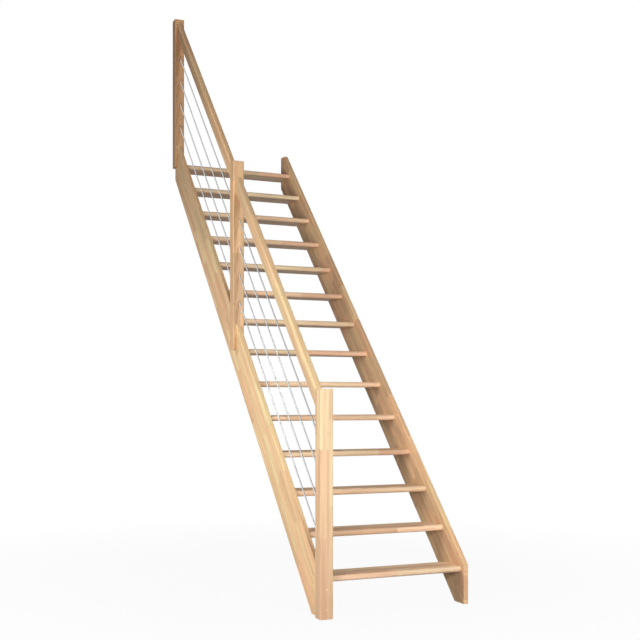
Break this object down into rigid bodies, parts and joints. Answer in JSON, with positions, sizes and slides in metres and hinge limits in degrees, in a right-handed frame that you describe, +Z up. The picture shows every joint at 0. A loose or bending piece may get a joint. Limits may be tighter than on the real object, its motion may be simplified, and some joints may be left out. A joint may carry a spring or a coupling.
{
  "type": "space-saving staircase",
  "caption": "Straight steep staircase in light beech with open risers, shallow rounded treads between two stringers and a left railing of posts, sloping handrails and thin steel rods.",
  "frame": {"origin": "centre of the front post's foot, on the floor", "axes": "+X across the stair to the right for someone going up, +Y along the climb, +Z up"},
  "size_m": [0.8875, 2.772, 3.8844],
  "materials": {
    "beech": "clear satin lacquer on stave-glued, finger-jointed beech",
    "steel": "brushed stainless steel"
  },
  "bodies": {
    "root": {"left_stringer": "beech", "right_stringer": "beech", "tread_01": "beech", "tread_02": "beech", "tread_03": "beech", "tread_04": "beech", "tread_05": "beech", "tread_06": "beech", "tread_07": "beech", "tread_08": "beech", "tread_09": "beech", "tread_10": "beech", "tread_11": "beech", "tread_12": "beech", "tread_13": "beech", "tread_14": "beech", "front_post": "beech", "middle_post": "beech", "top_post": "beech", "lower_handrail": "beech", "upper_handrail": "beech", "lower_rod_1": "steel", "lower_rod_2": "steel", "lower_rod_3": "steel", "lower_rod_4": "steel", "upper_rod_1": "steel", "upper_rod_2": "steel", "upper_rod_3": "steel", "upper_rod_4": "steel"}
  },
  "joints": []
}
